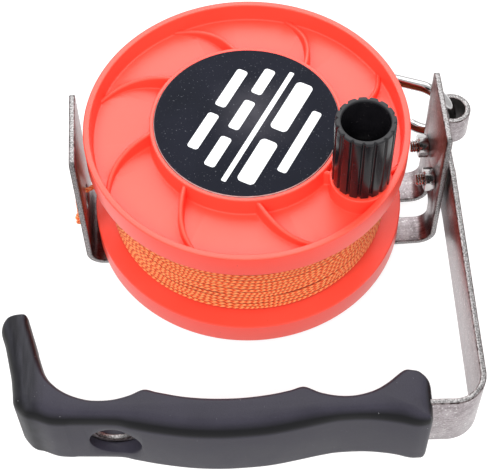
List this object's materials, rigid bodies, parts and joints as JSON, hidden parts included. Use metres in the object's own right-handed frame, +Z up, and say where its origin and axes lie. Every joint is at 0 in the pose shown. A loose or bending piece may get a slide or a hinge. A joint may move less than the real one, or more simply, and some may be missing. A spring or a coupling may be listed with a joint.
{
  "type": "dive reel",
  "caption": "Hand-held line reel: flanged spool with a winding knob in a bent steel bracket, moulded grip on a steel strap, line guide, ratchet selector and snap hook.",
  "frame": {"origin": "on the spool's axle, on the underside of the bracket's base", "axes": "+Z up along the axle towards the winding knob, -Y towards the handle, -X towards the ear with the line's guide hole"},
  "size_m": [0.2246, 0.2372, 0.1194],
  "materials": {
    "stainless": "brushed stainless sheet, satin",
    "fasteners": "turned stainless, bright",
    "snap_steel": "polished",
    "spool_plastic": "bright orange moulded plastic, satin gloss",
    "cover": "dark printed plate, satin",
    "grip": "dark grey moulded plastic, satin",
    "knob": "black moulded plastic",
    "bearing": "natural nylon",
    "line": "braided orange line"
  },
  "bodies": {
    "frame": {"bracket": "stainless", "handle_strap": "stainless", "handle_grip": "grip", "strap_bolt_1": "fasteners", "strap_bolt_2": "fasteners", "strap_nut_1": "fasteners", "strap_nut_2": "fasteners", "bolt_washer_1": "fasteners", "bolt_washer_2": "fasteners", "strap_spacer_1": "bearing", "strap_spacer_2": "bearing", "axle_stud": "fasteners", "thrust_washer": "bearing", "axle_washer": "fasteners", "axle_nut": "fasteners", "selector_pin": "fasteners", "line_tail": "line", "stopper_knot": "line"},
    "spool": {"lower_flange": "spool_plastic", "upper_flange": "spool_plastic", "flange_screw_1": "fasteners", "flange_screw_2": "fasteners", "flange_screw_3": "fasteners", "hub_cover": "cover", "lower_bush": "bearing", "upper_bush": "bearing", "line_core": "line", "line_winding": "line", "knob_washer": "bearing", "knob_screw": "fasteners"},
    "knob": {"winding_knob": "knob"},
    "selector": {"selector_lever": "stainless", "selector_tab": "knob"},
    "snap": {"snap_body": "snap_steel", "gate_pin": "snap_steel"},
    "gate": {"snap_gate": "snap_steel"}
  },
  "joints": [
    {"name": "spool_spin", "type": "hinge", "parent": "frame", "child": "spool", "pos_m": [0, 0, 0.021], "axis": [0, 0, 1], "continuous": true},
    {"name": "knob_spin", "type": "hinge", "parent": "spool", "child": "knob", "pos_m": [0.04848, -0.03484, 0.0806], "axis": [0, 0, 1], "continuous": true},
    {"name": "selector_turn", "type": "hinge", "parent": "frame", "child": "selector", "pos_m": [0.046, 0.0155, 0.003], "axis": [0, 0, 1], "range_deg": [0, 9.5]},
    {"name": "snap_swing", "type": "hinge", "parent": "frame", "child": "snap", "pos_m": [0.1024, 0.026, 0.0394], "axis": [0, 0, 1], "range_deg": [-120, 0]},
    {"name": "gate_turn", "type": "hinge", "parent": "snap", "child": "gate", "pos_m": [0.06343, 0.0485, 0.02816], "axis": [-0.5, -0.866, 0], "range_deg": [0, 25], "stiffness_Nm_per_rad": 0.02}
  ]
}
